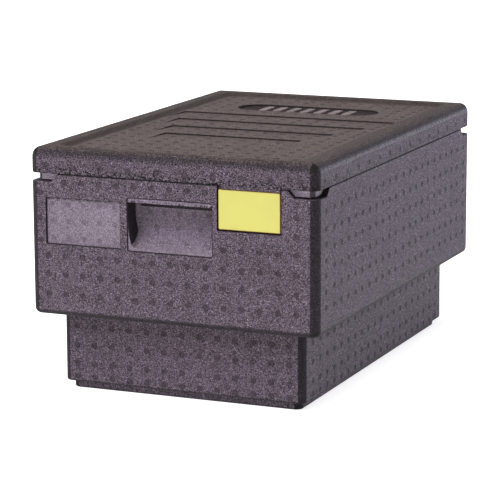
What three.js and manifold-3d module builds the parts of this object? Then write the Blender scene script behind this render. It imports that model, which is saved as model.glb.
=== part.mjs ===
// Insulated food carrier: a stepped, thick-walled foam box that stands on its own foot, a foam
// lid that lifts straight off, and a plastic identification tag pressed into one end.
//
// Millimetres. The origin is the middle of the footprint, on the surface the carrier stands on.
// +Z is up, +X and -X are the long sides, -Y is the front end and +Y the rear end.

import * as THREE from 'three';
import { mergeVertices } from 'three/addons/utils/BufferGeometryUtils.js';
import Module from 'manifold-3d';

// ---- Driving dimensions ---------------------------------------------------------------------

const WIDTH = 400; // across the ends, along X
const LENGTH = 600; // along the sides, along Y
const HEIGHT = 324;
const FIT_GAP = 0.3; // between pieces that rest on each other
const OVERCUT = 5; // how far a cutter runs past the face that it opens
const OVERLAP = 1; // how far joined solids run into each other
const FLUSH_GAP = 0.01; // keeps a face that ends flush with another from lying in its plane

// Outside of the box: a full-size upper section, a smaller lower section and a stacking foot.
const PARTING_Z = 290; // top of the box's lip, where the lid meets it
const STEP_Z = 104; // underside of the upper section
const STEP_INSET = 30;
const FOOT_HEIGHT = 10;
const FOOT_INSET = 8; // further in than the lower section
const CORNER_RADIUS = 12;
const LOWER_CORNER_RADIUS = 10;
const STEP_ROUNDING = 8;
const LOWER_ROUNDING = 3;
const FOOT_ROUNDING = 2.5;

// Inside of the box.
const LIP_THICKNESS = 8;
const LIP_CORNER_RADIUS = 6.5; // inside the lip
const SHELF_Z = 279.3; // the lid's tongue hangs just above this shelf
const WALL = 31;
const PAN_SEAT_Z = 262; // ledge that carries a food pan's flange
const PAN_SEAT_WIDTH = 13;
const SHOULDER_Z = 132; // the cavity narrows here to pass the step
const SHOULDER_DROP = 12;
const FLOOR_Z = 30;
const LOWER_WALL = 27;
const WALL_DRAFT = 4; // how far each inner wall leans in from top to bottom
const CAVITY_RADIUS = 24;
const FLOOR_ROUNDING = 12;

// Scoops in the long walls, beside the pan's flange, for the fingers that lift the pan.
const SCOOP_LENGTH = 120;
const SCOOP_DEPTH = 20;
const SCOOP_BOTTOM_Z = 228;

// Corner notches in the lip, where fingers reach the lid.
const NOTCH_REACH = 41; // from the corner, at the top of the lip
const NOTCH_SLOPE = 10; // how much shorter the notch is at its bottom

// Hand holds in both ends.
const HANDLE_X = -1.6; // middle of the hand hold, a little to the left of the carrier's middle
const HANDLE_WIDTH = 118;
const HANDLE_TOP_Z = 266.2;
const HANDLE_BOTTOM_Z = 197.2;
const HANDLE_REBATE = 1.2;
const HANDLE_CORNER_RADIUS = 4;
const HANDLE_BROW = 5.9; // height of the flat strip above the hand pocket
const POCKET_WIDTH = 117;
const POCKET_DEPTH = 31; // behind the end's outer face
const POCKET_BOTTOM_Z = 201;
const POCKET_MIDDLE_Z = 245; // where the hand pocket is deepest
const POCKET_LOWER_CORNER = { width: 9, height: 28 };
const POCKET_CEILING_CHAMFER = 4;

// Shallow plain recess for a stuck-on label.
const LABEL = { x: -124, width: 105.8, bottom: 198.3, top: 259.5, depth: 3 };

// Tag pocket, open to the parting plane, and the tag that is pressed into it.
const TAG_POCKET = { x: 107.8, width: 87, bottom: 232.4, depth: 4 };
const TAG = { x: 107.6, width: 83.8, bottom: 234.3, top: 285.4, thickness: 3, corner: 2 };
const STUD_SPACING = 50;
const STUD_Z = 258;
const STUD_RADIUS = 4;
const STUD_LENGTH = 10;
const STUD_HOLE_DEPTH = 11;
const STUD_CLEARANCE = 0.4;
const TAG_TRAVEL_GAP = 0.2; // between the tag's back and the pocket's wall

// Lid.
const LID_TOP_ROUNDING = 13;
const LID_BOTTOM_ROUNDING = 1.5;
const TONGUE_CLEARANCE = 0.4;
const TONGUE_BOTTOM_Z = 281;
const PLUG_CLEARANCE = 3;
const PLUG_BOTTOM_Z = 269;
const PLUG_CHAMFER = 3;
const UNDERSIDE_Z = 286; // hollowed underside, inside the plug's rim
const PLUG_RIM_WIDTH = 18;
const LID_KEY = { x: 109.8, width: 80.5, bottom: 286 }; // closes the top of the tag pocket

// Recessed top of the lid.
const PANEL_Z = 319.8;
const RIM_WIDTH_X = 23.5;
const RIM_WIDTH_Y = 18;
const PANEL_SLOPE_X = 17;
const PANEL_SLOPE_Y = 24;
const RIM_CORNER_RADIUS = 22;

// Four wedge-shaped terraces, each narrower than the one behind it.
const TERRACE_COUNT = 4;
const TERRACE_FIRST_Y = 95.5;
const TERRACE_PITCH = 65.3;
const TERRACE_FIRST_HALF_WIDTH = 158.7;
const TERRACE_NARROWING = 20;
const TERRACE_DEPTH = 2;
const TERRACE_LENGTH = 62;

// Oval badge recess with plain upright bars.
const BADGE = { y: 168, width: 210, height: 60, depth: 3, corner: 29.99 };
const BADGE_BAR_COUNT = 7;
const BADGE_BAR_PITCH = 21;
const BADGE_BAR = { width: 11, length: 38, height: 2.2, corner: 4 };

// ---- Booleans -------------------------------------------------------------------------------

const wasm = await Module();
wasm.setup();

function solid(geometry) {
  const bare = geometry.index ? geometry.toNonIndexed() : geometry.clone();
  bare.deleteAttribute('normal');
  bare.deleteAttribute('uv');
  const merged = mergeVertices(bare, 1e-4);
  return new wasm.Manifold(new wasm.Mesh({
    numProp: 3,
    vertProperties: new Float32Array(merged.attributes.position.array),
    triVerts: new Uint32Array(merged.index.array),
  }));
}

function geometryOf(manifold) {
  const mesh = manifold.getMesh();
  const geometry = new THREE.BufferGeometry();
  geometry.setAttribute('position', new THREE.BufferAttribute(mesh.vertProperties, 3));
  geometry.setIndex(new THREE.BufferAttribute(mesh.triVerts, 1));
  geometry.computeVertexNormals();
  return geometry;
}

const subtractAll = (body, cutters) => cutters.reduce((rest, cutter) => rest.subtract(cutter), body);

// ---- Shape helpers --------------------------------------------------------------------------

const CORNER_SEGMENTS = 3; // three.js doubles this on an arc
const CURVE_SEGMENTS = 6; // in extruded outlines
const BADGE_SEGMENTS = 8;
const ROUNDING_STEPS = 4;
const STUD_SIDES = 16;
const SMALLEST_CORNER = 2; // a rounding never shrinks an outline's corners below this

function roundedRectangle(halfX, halfY, radius) {
  const x = halfX - radius;
  const y = halfY - radius;
  const shape = new THREE.Shape();
  shape.absarc(x, y, radius, 0, Math.PI / 2);
  shape.absarc(-x, y, radius, Math.PI / 2, Math.PI);
  shape.absarc(-x, -y, radius, Math.PI, 1.5 * Math.PI);
  shape.absarc(x, -y, radius, 1.5 * Math.PI, 2 * Math.PI);
  return shape;
}

// Closed skin through a stack of rounded rectangles, given from the bottom up.
function loft(levels) {
  const outlines = levels.map(({ halfX, halfY, radius }) =>
    roundedRectangle(halfX, halfY, radius).getPoints(CORNER_SEGMENTS).slice(0, -1));
  const count = outlines[0].length;
  const positions = outlines.flatMap((outline, level) =>
    outline.flatMap((point) => [point.x, point.y, levels[level].z]));
  const triangles = [];
  for (let level = 0; level + 1 < levels.length; level += 1) {
    for (let i = 0; i < count; i += 1) {
      const here = level * count + i;
      const next = level * count + ((i + 1) % count);
      triangles.push(here, next, next + count, here, next + count, here + count);
    }
  }
  const last = (levels.length - 1) * count;
  for (let i = 1; i + 1 < count; i += 1) {
    triangles.push(0, i + 1, i, last, last + i, last + i + 1);
  }
  const geometry = new THREE.BufferGeometry();
  geometry.setAttribute('position', new THREE.Float32BufferAttribute(positions, 3));
  geometry.setIndex(triangles);
  return solid(geometry);
}

// One level of the loft, set in from the full footprint.
function level(z, insetX, insetY, radius) {
  return { z, halfX: WIDTH / 2 - insetX, halfY: LENGTH / 2 - insetY, radius };
}

// Levels that round an edge between two heights. `grow` is true where the outline widens upward.
function roundedEdge({ z, rounding, insetX, insetY, radius, grow }) {
  return Array.from({ length: ROUNDING_STEPS + 1 }, (_, step) => {
    const angle = (step / ROUNDING_STEPS) * (Math.PI / 2);
    const turn = grow ? Math.PI / 2 - angle : angle;
    const inset = rounding * (1 - Math.cos(turn));
    const rise = grow ? 1 - Math.sin(turn) : Math.sin(turn);
    const corner = Math.max(radius - inset, SMALLEST_CORNER);
    return level(z + rounding * rise, insetX + inset, insetY + inset, corner);
  });
}

// Box between two corners.
function block(low, high) {
  const size = high.map((value, axis) => value - low[axis]);
  const geometry = new THREE.BoxGeometry(...size);
  geometry.translate(...low.map((value, axis) => value + size[axis] / 2));
  return solid(geometry);
}

// Shape drawn in X and Z, extruded along Y between two depths.
function acrossEnd(shape, lowY, highY) {
  const geometry = new THREE.ExtrudeGeometry(shape, {
    depth: highY - lowY, bevelEnabled: false, curveSegments: CURVE_SEGMENTS,
  });
  geometry.rotateX(Math.PI / 2);
  geometry.translate(0, highY, 0);
  return solid(geometry);
}

// Shape drawn in Y and Z, extruded along X over a centred width.
function acrossSide(shape, width, centreX = 0) {
  const geometry = new THREE.ExtrudeGeometry(shape, {
    depth: width, bevelEnabled: false, curveSegments: CURVE_SEGMENTS,
  });
  geometry.rotateX(Math.PI / 2);
  geometry.rotateZ(Math.PI / 2);
  geometry.translate(centreX - width / 2, 0, 0);
  return solid(geometry);
}

function shapeThrough(points) {
  return new THREE.Shape(points.map(([x, y]) => new THREE.Vector2(x, y)));
}

const turnedRound = (manifold) => manifold.rotate([0, 0, 180]);
const FRONT_Y = -LENGTH / 2;

// ---- Box body -------------------------------------------------------------------------------

function bodyOutside() {
  const footInset = STEP_INSET + FOOT_INSET;
  const footRadius = LOWER_CORNER_RADIUS;
  return loft([
    ...roundedEdge({
      z: 0, rounding: FOOT_ROUNDING, insetX: footInset, insetY: footInset,
      radius: footRadius, grow: true,
    }),
    level(FOOT_HEIGHT, footInset, footInset, footRadius),
    ...roundedEdge({
      z: FOOT_HEIGHT, rounding: LOWER_ROUNDING, insetX: STEP_INSET, insetY: STEP_INSET,
      radius: LOWER_CORNER_RADIUS, grow: true,
    }),
    level(STEP_Z, STEP_INSET, STEP_INSET, LOWER_CORNER_RADIUS),
    ...roundedEdge({
      z: STEP_Z, rounding: STEP_ROUNDING, insetX: 0, insetY: 0,
      radius: CORNER_RADIUS, grow: true,
    }),
    level(PARTING_Z, 0, 0, CORNER_RADIUS),
  ]);
}

function lipRecess() {
  return loft([
    level(SHELF_Z, LIP_THICKNESS, LIP_THICKNESS, LIP_CORNER_RADIUS),
    level(PARTING_Z + OVERCUT, LIP_THICKNESS, LIP_THICKNESS, LIP_CORNER_RADIUS),
  ]);
}

// Everything that the food pan hangs in, from the seat down to the floor.
function cavity() {
  const upper = WALL + PAN_SEAT_WIDTH;
  const lower = STEP_INSET + LOWER_WALL;
  const lean = WALL_DRAFT / 2;
  const floor = roundedEdge({
    z: FLOOR_Z, rounding: FLOOR_ROUNDING, insetX: lower + lean, insetY: lower + lean,
    radius: CAVITY_RADIUS, grow: true,
  });
  return loft([
    ...floor,
    level(SHOULDER_Z - SHOULDER_DROP, lower, lower, CAVITY_RADIUS),
    level(SHOULDER_Z, upper + lean, upper + lean, CAVITY_RADIUS),
    level(PAN_SEAT_Z, upper, upper, CAVITY_RADIUS),
    level(PAN_SEAT_Z, WALL, WALL, CAVITY_RADIUS),
    level(SHELF_Z + OVERCUT, WALL, WALL, CAVITY_RADIUS),
  ]);
}

// Finger scoop in the +X wall: a trough that is open to the cavity and to the shelf.
function fingerScoop() {
  const wallX = WIDTH / 2 - WALL - PAN_SEAT_WIDTH;
  const outline = new THREE.Shape();
  const half = SCOOP_LENGTH / 2;
  const radius = SCOOP_DEPTH;
  outline.moveTo(-half, SHELF_Z + OVERCUT);
  outline.lineTo(-half, SCOOP_BOTTOM_Z + radius);
  outline.absarc(-half + radius, SCOOP_BOTTOM_Z + radius, radius, Math.PI, 1.5 * Math.PI);
  outline.absarc(half - radius, SCOOP_BOTTOM_Z + radius, radius, 1.5 * Math.PI, 2 * Math.PI);
  outline.lineTo(half, SHELF_Z + OVERCUT);
  return acrossSide(outline, SCOOP_DEPTH + OVERCUT, wallX + (SCOOP_DEPTH - OVERCUT) / 2);
}

// Both slanted cuts of one corner's notch, at the front left.
function cornerNotch() {
  const half = WIDTH / 2;
  const cut = (edge, reach) => shapeThrough([
    [-edge - OVERCUT, SHELF_Z],
    [-edge + reach - NOTCH_SLOPE, SHELF_Z],
    [-edge + reach, PARTING_Z],
    [-edge + reach, PARTING_Z + OVERCUT],
    [-edge - OVERCUT, PARTING_Z + OVERCUT],
  ]);
  const inner = CORNER_RADIUS;
  const onEnd = acrossEnd(cut(half, NOTCH_REACH), FRONT_Y - OVERCUT, FRONT_Y + inner);
  const onSide = acrossSide(cut(LENGTH / 2, NOTCH_REACH), inner + OVERCUT,
    -half + (inner - OVERCUT) / 2);
  return onEnd.add(onSide);
}

function handleRebate() {
  const middle = (HANDLE_TOP_Z + HANDLE_BOTTOM_Z) / 2;
  const halfHeight = (HANDLE_TOP_Z - HANDLE_BOTTOM_Z) / 2;
  const outline = roundedRectangle(HANDLE_WIDTH / 2, halfHeight, HANDLE_CORNER_RADIUS);
  return acrossEnd(outline, FRONT_Y - OVERCUT, FRONT_Y + HANDLE_REBATE)
    .translate([HANDLE_X, 0, middle]);
}

// Hand pocket: an elliptical scoop in side view, with soft lower corners in front view.
function handPocket() {
  const ceiling = HANDLE_TOP_Z - HANDLE_BROW;
  const side = new THREE.Shape();
  side.moveTo(FRONT_Y - OVERCUT, ceiling);
  side.lineTo(FRONT_Y - OVERCUT, POCKET_BOTTOM_Z);
  side.lineTo(FRONT_Y, POCKET_BOTTOM_Z);
  side.absellipse(FRONT_Y, POCKET_MIDDLE_Z, POCKET_DEPTH, POCKET_MIDDLE_Z - POCKET_BOTTOM_Z,
    1.5 * Math.PI, 2 * Math.PI);
  side.lineTo(FRONT_Y + POCKET_DEPTH, ceiling - POCKET_CEILING_CHAMFER);
  side.lineTo(FRONT_Y + POCKET_DEPTH - POCKET_CEILING_CHAMFER, ceiling);
  const { width, height } = POCKET_LOWER_CORNER;
  const half = POCKET_WIDTH / 2;
  const front = new THREE.Shape();
  front.moveTo(-half, ceiling);
  front.lineTo(-half, POCKET_BOTTOM_Z + height);
  front.absellipse(-half + width, POCKET_BOTTOM_Z + height, width, height, Math.PI, 1.5 * Math.PI);
  front.absellipse(half - width, POCKET_BOTTOM_Z + height, width, height,
    1.5 * Math.PI, 2 * Math.PI);
  front.lineTo(half, ceiling);
  return acrossSide(side, POCKET_WIDTH)
    .intersect(acrossEnd(front, FRONT_Y - OVERCUT, FRONT_Y + POCKET_DEPTH + OVERCUT))
    .translate([HANDLE_X, 0, 0]);
}

function labelRecess() {
  return block(
    [LABEL.x - LABEL.width / 2, FRONT_Y - OVERCUT, LABEL.bottom],
    [LABEL.x + LABEL.width / 2, FRONT_Y + LABEL.depth, LABEL.top],
  );
}

function studAt(x, radius, length, startY) {
  const geometry = new THREE.CylinderGeometry(radius, radius, length, STUD_SIDES);
  geometry.translate(x, startY + length / 2, STUD_Z);
  return solid(geometry);
}

function tagPocket() {
  const back = FRONT_Y + TAG_POCKET.depth;
  const pocket = block(
    [TAG_POCKET.x - TAG_POCKET.width / 2, FRONT_Y - OVERCUT, TAG_POCKET.bottom],
    [TAG_POCKET.x + TAG_POCKET.width / 2, back, PARTING_Z + OVERCUT],
  );
  const holes = [-1, 1].map((side) => studAt(TAG.x + (side * STUD_SPACING) / 2,
    STUD_RADIUS + STUD_CLEARANCE, STUD_HOLE_DEPTH + OVERLAP, back - OVERLAP));
  return holes.reduce((all, hole) => all.add(hole), pocket);
}

function endFeatures() {
  return [handleRebate(), handPocket(), labelRecess(), tagPocket()];
}

function makeBody() {
  const notch = cornerNotch();
  const mirrored = notch.mirror([1, 0, 0]);
  const ends = endFeatures();
  const scoop = fingerScoop();
  return subtractAll(bodyOutside(), [
    lipRecess(),
    cavity(),
    scoop,
    turnedRound(scoop),
    notch,
    mirrored,
    turnedRound(notch),
    turnedRound(mirrored),
    ...ends,
    ...ends.map(turnedRound),
  ]);
}

// ---- Lid ------------------------------------------------------------------------------------

function lidOutside() {
  const bottom = PARTING_Z + FIT_GAP;
  return loft([
    ...roundedEdge({
      z: bottom, rounding: LID_BOTTOM_ROUNDING, insetX: 0, insetY: 0,
      radius: CORNER_RADIUS, grow: true,
    }),
    ...roundedEdge({
      z: HEIGHT - LID_TOP_ROUNDING, rounding: LID_TOP_ROUNDING, insetX: 0, insetY: 0,
      radius: CORNER_RADIUS, grow: false,
    }),
  ]);
}

// Tongue inside the box's lip, and below it the plug that reaches into the cavity.
function tongueAndPlug() {
  const tongue = LIP_THICKNESS + TONGUE_CLEARANCE;
  const plug = WALL + PLUG_CLEARANCE;
  return loft([
    level(PLUG_BOTTOM_Z, plug + PLUG_CHAMFER, plug + PLUG_CHAMFER, CAVITY_RADIUS),
    level(PLUG_BOTTOM_Z + PLUG_CHAMFER, plug, plug, CAVITY_RADIUS),
    level(TONGUE_BOTTOM_Z, plug, plug, CAVITY_RADIUS),
    level(TONGUE_BOTTOM_Z, tongue, tongue, LIP_CORNER_RADIUS),
    level(PARTING_Z + OVERCUT, tongue, tongue, LIP_CORNER_RADIUS),
  ]);
}

function underside() {
  const inset = WALL + PLUG_CLEARANCE + PLUG_RIM_WIDTH;
  const lean = WALL_DRAFT / 2;
  return loft([
    level(PLUG_BOTTOM_Z - OVERCUT, inset, inset, CAVITY_RADIUS),
    level(PLUG_BOTTOM_Z, inset, inset, CAVITY_RADIUS),
    level(UNDERSIDE_Z, inset + lean, inset + lean, CAVITY_RADIUS),
  ]);
}

function topRecess() {
  const sloped = RIM_CORNER_RADIUS - PANEL_SLOPE_X;
  return loft([
    level(PANEL_Z, RIM_WIDTH_X + PANEL_SLOPE_X, RIM_WIDTH_Y + PANEL_SLOPE_Y, sloped),
    level(HEIGHT, RIM_WIDTH_X, RIM_WIDTH_Y, RIM_CORNER_RADIUS),
    level(HEIGHT + OVERCUT, RIM_WIDTH_X, RIM_WIDTH_Y, RIM_CORNER_RADIUS),
  ]);
}

// A wedge that is deepest along its rear edge and runs out to nothing towards the front.
function terrace(index) {
  const rearY = TERRACE_FIRST_Y - index * TERRACE_PITCH;
  const width = 2 * (TERRACE_FIRST_HALF_WIDTH - index * TERRACE_NARROWING);
  const slope = TERRACE_DEPTH / TERRACE_LENGTH;
  return acrossSide(shapeThrough([
    [rearY, PANEL_Z - TERRACE_DEPTH],
    [rearY, PANEL_Z + OVERCUT],
    [rearY - TERRACE_LENGTH - OVERCUT, PANEL_Z + OVERCUT],
    [rearY - TERRACE_LENGTH - OVERCUT, PANEL_Z + slope * OVERCUT],
  ]), width);
}

function badgeRecess() {
  const outline = roundedRectangle(BADGE.width / 2, BADGE.height / 2, BADGE.corner);
  const geometry = new THREE.ExtrudeGeometry(outline, {
    depth: BADGE.depth + OVERCUT, bevelEnabled: false, curveSegments: BADGE_SEGMENTS,
  });
  geometry.translate(0, BADGE.y, PANEL_Z - BADGE.depth);
  return solid(geometry);
}

function badgeBar(index) {
  const x = (index - (BADGE_BAR_COUNT - 1) / 2) * BADGE_BAR_PITCH;
  const outline = roundedRectangle(BADGE_BAR.width / 2, BADGE_BAR.length / 2, BADGE_BAR.corner);
  const geometry = new THREE.ExtrudeGeometry(outline, {
    depth: BADGE_BAR.height + OVERLAP, bevelEnabled: false, curveSegments: CORNER_SEGMENTS,
  });
  geometry.translate(x, BADGE.y, PANEL_Z - BADGE.depth - OVERLAP);
  return solid(geometry);
}

// Tab that hangs into the open top of the tag pocket, flush with the box's end.
function lidKey() {
  return block(
    [LID_KEY.x - LID_KEY.width / 2, FRONT_Y + FLUSH_GAP, LID_KEY.bottom],
    [LID_KEY.x + LID_KEY.width / 2, FRONT_Y + TAG_POCKET.depth - TONGUE_CLEARANCE,
      PARTING_Z + OVERCUT],
  );
}

function makeLid() {
  const key = lidKey();
  const terraces = Array.from({ length: TERRACE_COUNT }, (_, index) => terrace(index));
  const bars = Array.from({ length: BADGE_BAR_COUNT }, (_, index) => badgeBar(index));
  const shell = [tongueAndPlug(), key, turnedRound(key)]
    .reduce((all, piece) => all.add(piece), lidOutside());
  const cut = subtractAll(shell, [underside(), topRecess(), badgeRecess(), ...terraces]);
  return bars.reduce((all, bar) => all.add(bar), cut);
}

// ---- Identification tag ---------------------------------------------------------------------

function makeTag() {
  const back = FRONT_Y + TAG_POCKET.depth - TAG_TRAVEL_GAP;
  const outline = roundedRectangle(TAG.width / 2, (TAG.top - TAG.bottom) / 2, TAG.corner);
  const plate = acrossEnd(outline, back - TAG.thickness, back)
    .translate([TAG.x, 0, (TAG.top + TAG.bottom) / 2]);
  const studs = [-1, 1].map((side) => studAt(TAG.x + (side * STUD_SPACING) / 2,
    STUD_RADIUS, STUD_LENGTH + OVERLAP, back - OVERLAP));
  return studs.reduce((all, stud) => all.add(stud), plate);
}

// ---- Assembly -------------------------------------------------------------------------------

function piece(name, manifold, material) {
  const mesh = new THREE.Mesh(geometryOf(manifold), material);
  mesh.name = name;
  return mesh;
}

const boxFoam = new THREE.MeshStandardMaterial({ color: 0x6a6068, roughness: 0.75, metalness: 0 });
const lidFoam = new THREE.MeshStandardMaterial({ color: 0x6b6363, roughness: 0.75, metalness: 0 });
const tagPlastic = new THREE.MeshStandardMaterial({ color: 0xe8e37f, roughness: 0.45, metalness: 0 });

const carrier = new THREE.Group();
carrier.add(piece('box_body', makeBody(), boxFoam));
carrier.add(piece('lid', makeLid(), lidFoam));
carrier.add(piece('id_tag', makeTag(), tagPlastic));

export default carrier;
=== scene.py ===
"""Insulated food carrier: a stepped foam box, its lift-off lid and a plastic tag, on a pale floor.

Shapes are drawn in millimetres in the frame's own axes and turned into metres when a mesh is made.
The front end faces -Y, and the rear end is the front end turned half a turn about Z.
"""

import math

import bmesh
import bpy
from mathutils import Matrix, Vector


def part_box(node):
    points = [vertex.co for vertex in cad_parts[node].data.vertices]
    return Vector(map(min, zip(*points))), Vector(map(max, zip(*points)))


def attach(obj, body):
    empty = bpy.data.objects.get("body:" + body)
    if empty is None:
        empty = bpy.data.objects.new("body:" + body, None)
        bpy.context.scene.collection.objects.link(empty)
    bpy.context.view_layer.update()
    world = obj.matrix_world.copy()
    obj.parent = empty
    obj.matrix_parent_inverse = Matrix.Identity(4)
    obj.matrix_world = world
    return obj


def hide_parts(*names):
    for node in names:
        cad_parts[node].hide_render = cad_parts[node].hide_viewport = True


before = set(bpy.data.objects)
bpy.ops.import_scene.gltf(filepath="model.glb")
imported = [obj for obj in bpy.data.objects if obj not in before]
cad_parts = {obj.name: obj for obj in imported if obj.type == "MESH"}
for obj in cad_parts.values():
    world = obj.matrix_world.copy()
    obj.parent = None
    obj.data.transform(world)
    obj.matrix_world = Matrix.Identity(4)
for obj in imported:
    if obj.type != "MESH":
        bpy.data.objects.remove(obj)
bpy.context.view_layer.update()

# ---- Dimensions, in millimetres ----

MM = 0.001
box_low, box_high = (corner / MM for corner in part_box("box_body"))
_, lid_high = (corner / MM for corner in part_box("lid"))
tag_low, tag_high = (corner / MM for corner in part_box("id_tag"))

HALF_WIDTH = box_high.x
HALF_LENGTH = box_high.y
FRONT_Y = box_low.y
PARTING_Z = box_high.z
TOP_Z = lid_high.z
FIT_GAP = 0.3  # between the lid's skirt and the box's lip
OVERCUT = 5.0  # how far a cutter runs past the face that it opens

# Outside of the box.
STEP_Z = 104.0
STEP_INSET = 30.0
STEP_ROUNDING = 8.0
FOOT_HEIGHT = 10.0
FOOT_INSET = 8.0
CORNER_RADIUS = 12.0
LOWER_CORNER_RADIUS = 10.0
LOWER_ROUNDING = 3.0
FOOT_ROUNDING = 2.5
LIP_EDGE_ROUNDING = 1.2

# Inside of the box.
LIP_THICKNESS = 8.0
LIP_CORNER_RADIUS = 6.5
SHELF_Z = 279.3
SHELF_FILLET = 1.5
WALL = 31.0
PAN_SEAT_Z = 262.0
PAN_SEAT_WIDTH = 13.0
SEAT_EDGE_ROUNDING = 2.0
SHOULDER_Z = 132.0
SHOULDER_DROP = 12.0
FLOOR_Z = 30.0
LOWER_WALL = 27.0
WALL_LEAN = 2.0
CAVITY_RADIUS = 24.0
FLOOR_ROUNDING = 12.0
SCOOP_LENGTH = 120.0
SCOOP_DEPTH = 20.0
SCOOP_BOTTOM_Z = 228.0

# Corner notches in the lip.
NOTCH_REACH = 41.0
NOTCH_SLOPE = 10.0

# Hand holds, label recess and tag pocket, in the ends.
HANDLE_X = -1.6
HANDLE_HALF_WIDTH = 59.0
HANDLE_TOP_Z = 266.2
HANDLE_BOTTOM_Z = 197.2
HANDLE_REBATE = 1.2
HANDLE_CORNER_RADIUS = 3.0
POCKET_HALF_WIDTH = 58.4
POCKET_CEILING_Z = 259.6
POCKET_BOTTOM_Z = 201.0
POCKET_MIDDLE_Z = 245.0
POCKET_DEPTH = 31.0
POCKET_FILLET = 5.0
POCKET_STEPS = 16  # from its back to the end's face
POCKET_CEILING_FALL = 1.75  # how much faster the ceiling curves down than the sides draw in
POCKET_DARK_STEPS = 7  # of a lower corner's arc, in the painted shade of the side wall above it
POCKET_DARK_DEPTH = 25.0  # behind the end, down to which the side walls carry painted shade
POCKET_CORNER_WIDTH = 9.0
POCKET_CORNER_SHARE = 0.80  # of the pocket's height, that its lower corners take up
LABEL_X = -124.0
LABEL_HALF_WIDTH = 52.9
LABEL_BOTTOM_Z = 198.3
LABEL_TOP_Z = 259.5
LABEL_DEPTH = 3.0
LABEL_CORNER_RADIUS = 1.6
TAG_POCKET_X = 107.8
TAG_POCKET_HALF_WIDTH = 43.5
TAG_POCKET_BOTTOM_Z = 232.4
TAG_POCKET_DEPTH = 4.0
TAG_POCKET_OVERCUT = 20.0  # lifts the cutter's upper corners well clear of the parting plane
TAG_POCKET_CORNER_RADIUS = 1.4
RECESS_FLOOR_FILLET = 0.8
RECESS_MOUTH_ROUNDING = 0.9
TIGHT_MOUTH_ROUNDING = 0.5  # of the label recess and the tag pocket
MOUTH_LIFT = 0.02  # a rounded mouth ends just outside the face, never in its plane
TAG_CORNER_RADIUS = 2.0
TAG_EDGE_ROUNDING = 1.2
TAG_THICKNESS = 3.0
STUD_SPACING = 50.0
STUD_Z = 258.0
STUD_RADIUS = 4.0
STUD_CLEARANCE = 0.4
STUD_CHAMFER = 1.2
STUD_HOLE_DEPTH = 11.0
STUD_ROOT = 1.0  # how far a stud runs into the tag's plate, and its hole's cutter past the wall

# Lid.
SKIRT_BOTTOM_Z = PARTING_Z + FIT_GAP
LID_TOP_ROUNDING = 13.0
LID_BOTTOM_ROUNDING = 1.5
TONGUE_CLEARANCE = 0.4
TONGUE_BOTTOM_Z = 281.0
TONGUE_EDGE_ROUNDING = 1.0
PLUG_CLEARANCE = 3.0
PLUG_BOTTOM_Z = 269.0
PLUG_CHAMFER = 3.0
PLUG_RIM_WIDTH = 18.0
UNDERSIDE_Z = 286.0
KEY_X = 109.8
KEY_HALF_WIDTH = 40.25
KEY_BOTTOM_Z = 286.0
KEY_TOP_Z = 296.0  # inside the skirt, above its rounded bottom edge
KEY_CORNER_RADIUS = 0.5
FLUSH_GAP = 0.01  # keeps two faces from lying in one plane
PANEL_Z = 319.8
RIM_WIDTH_X = 23.5
RIM_WIDTH_Y = 18.0
PANEL_SLOPE_X = 17.0
PANEL_SLOPE_Y = 24.0
RIM_CORNER_RADIUS = 22.0
RIM_STEPS = 12  # down the slope from the rim to the panel
PANEL_CORNER_RADIUS = 4.0
TERRACE_COUNT = 4
TERRACE_FIRST_Y = 95.5
TERRACE_PITCH = 65.3
TERRACE_FIRST_HALF_WIDTH = 158.7
TERRACE_NARROWING = 20.0
TERRACE_DEPTH = 2.0
TERRACE_LENGTH = 62.0
TERRACE_CHAMFER = 0.4
TERRACE_LIP_DROP = 0.3  # how far below the panel the chamfer at a riser's top begins
TERRACE_LIP_RISE = 0.1  # and how far above it the cutter's chamfer ends
LEVEL_ENOUGH = 0.8  # upward share of a normal, below which a terrace's face is an edge
BADGE_Y = 168.0
BADGE_HALF_WIDTH = 105.0
BADGE_HALF_HEIGHT = 30.0
BADGE_DEPTH = 3.0
BADGE_CORNER_RADIUS = 29.0
BAR_COUNT = 7
BAR_PITCH = 21.0
BAR_HALF_WIDTH = 5.5
BAR_HALF_LENGTH = 19.0
BAR_HEIGHT = 2.2
BAR_CORNER_RADIUS = 3.0
BAR_EDGE_ROUNDING = 0.8
BAR_ROOT = 1.0  # how far a bar runs into the badge's floor

# Steam vent marks, left all over moulded foam by the plugs in its mould.
VENT_RADIUS = 4.2
VENT_SIDES = 20
VENT_RIM_HEIGHT = 0.13
VENT_OUTER_RISE = 0.4  # of the rim's height, that its outer wall rises straight up
VENT_OUTER_SLOPE = 0.3  # width of the slope outside the rim's top
VENT_INNER_SLOPE = 0.25  # and of the one inside it
VENT_DISH_HEIGHT = 0.03
VENT_DISH_SHARE = 0.84  # of the mark's radius
VENT_ROOT = 0.5  # how far a mark is set into the foam
VENT_MARGIN = 5.5  # between a mark's centre and the edge of a feature

ARC_STEPS = 10  # along a quarter turn of a corner
FILLET_STEPS = 4  # along a quarter turn of a small rounding
SMALLEST_CORNER = 1.0  # that a rounded edge leaves of its outline's corners
SMOOTH_BELOW = math.radians(32)  # edges flatter than this are shaded smooth
LARGE_FACE_WEIGHT = 100  # lets the largest face at a corner decide its shading


# ---- Mesh helpers ----


def rounded_rectangle(half_u, half_v, radius):
    """Outline of a rectangle with round corners, anticlockwise."""
    points = []
    for quarter, (side_u, side_v) in enumerate([(1, 1), (-1, 1), (-1, -1), (1, -1)]):
        for step in range(ARC_STEPS + 1):
            angle = (quarter + step / ARC_STEPS) * math.pi / 2
            points.append((
                side_u * (half_u - radius) + radius * math.cos(angle),
                side_v * (half_v - radius) + radius * math.sin(angle),
            ))
    return points


def add_to_scene(name, data):
    added = bpy.data.objects.new(name, data)
    bpy.context.scene.collection.objects.link(added)
    return added


def new_piece(name, mesh_data, materials):
    for material in materials:
        mesh_data.materials.append(material)
    return add_to_scene(name, mesh_data)


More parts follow.
